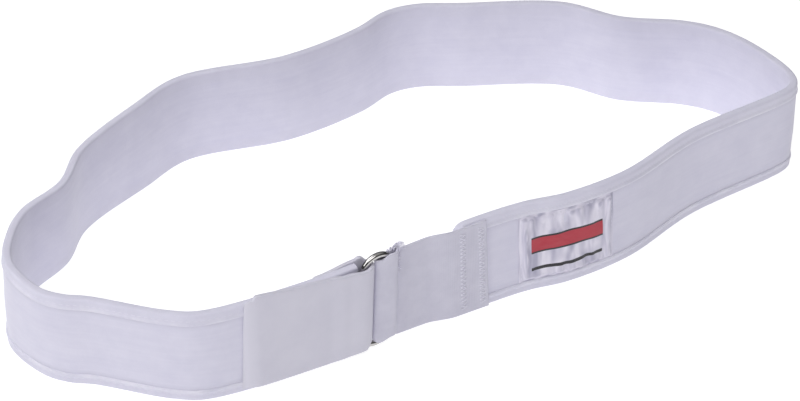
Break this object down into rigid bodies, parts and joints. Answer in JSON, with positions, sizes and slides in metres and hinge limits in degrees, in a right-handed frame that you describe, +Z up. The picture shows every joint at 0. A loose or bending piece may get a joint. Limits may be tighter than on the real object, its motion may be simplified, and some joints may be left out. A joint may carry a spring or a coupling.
{
  "type": "sacroiliac belt",
  "caption": "Narrow padded hip belt in a closed loop, with bound edges, elastic webbing, a steel ring and a hook tab folded back on the band.",
  "frame": {"origin": "middle of the loop's bounding box, on the surface that its lower edge stands on", "axes": "+Z up along the band's width, +X across the loop to the side with the label, +Y from the ring to the back"},
  "size_m": [0.3902, 0.2544, 0.0555],
  "materials": {
    "brushed_loop_cloth": "brushed, matt, lavender white",
    "binding_tape": "soft knitted tape, matt",
    "hook_tape": "smooth knit, matt",
    "elastic_webbing": "fine ribbed weave, slightly greyer",
    "chromed_wire": "polished",
    "satin_label": "satin sheen"
  },
  "bodies": {
    "root": {"padded_band": "brushed_loop_cloth", "top_binding": "binding_tape", "bottom_binding": "binding_tape", "hook_tab": "hook_tape", "elastic_webbing": "elastic_webbing", "steel_ring": "chromed_wire", "satin_label": "satin_label"}
  },
  "joints": []
}
